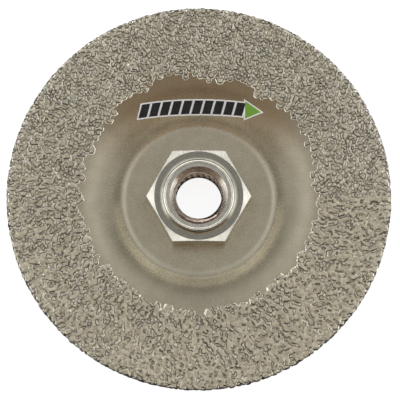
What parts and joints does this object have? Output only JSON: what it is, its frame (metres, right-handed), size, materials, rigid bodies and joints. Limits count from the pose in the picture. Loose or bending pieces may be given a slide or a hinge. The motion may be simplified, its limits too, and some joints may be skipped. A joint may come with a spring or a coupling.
{
  "type": "diamond grinding wheel",
  "caption": "Depressed-centre steel grinding wheel with a brazed diamond face and edge, and a threaded hex hub standing in its recess.",
  "frame": {"origin": "centre of the hub's flat back face, which seats on the spindle's shoulder", "axes": "+Z along the wheel's axis, from the back seat towards the working face; the hex hub's flats face +Y and -Y"},
  "size_m": [0.115, 0.115, 0.0159],
  "materials": {
    "core_coat": "satin",
    "diamond_grit": "rough",
    "plated_steel": "satin",
    "flange_steel": "satin",
    "mark_black": "satin",
    "mark_white": "satin",
    "mark_green": "satin"
  },
  "bodies": {
    "root": {"steel_core": "core_coat", "face_grit": "diamond_grit", "edge_grit": "diamond_grit", "hub_nut": "plated_steel", "back_flange": "flange_steel"}
  },
  "joints": []
}
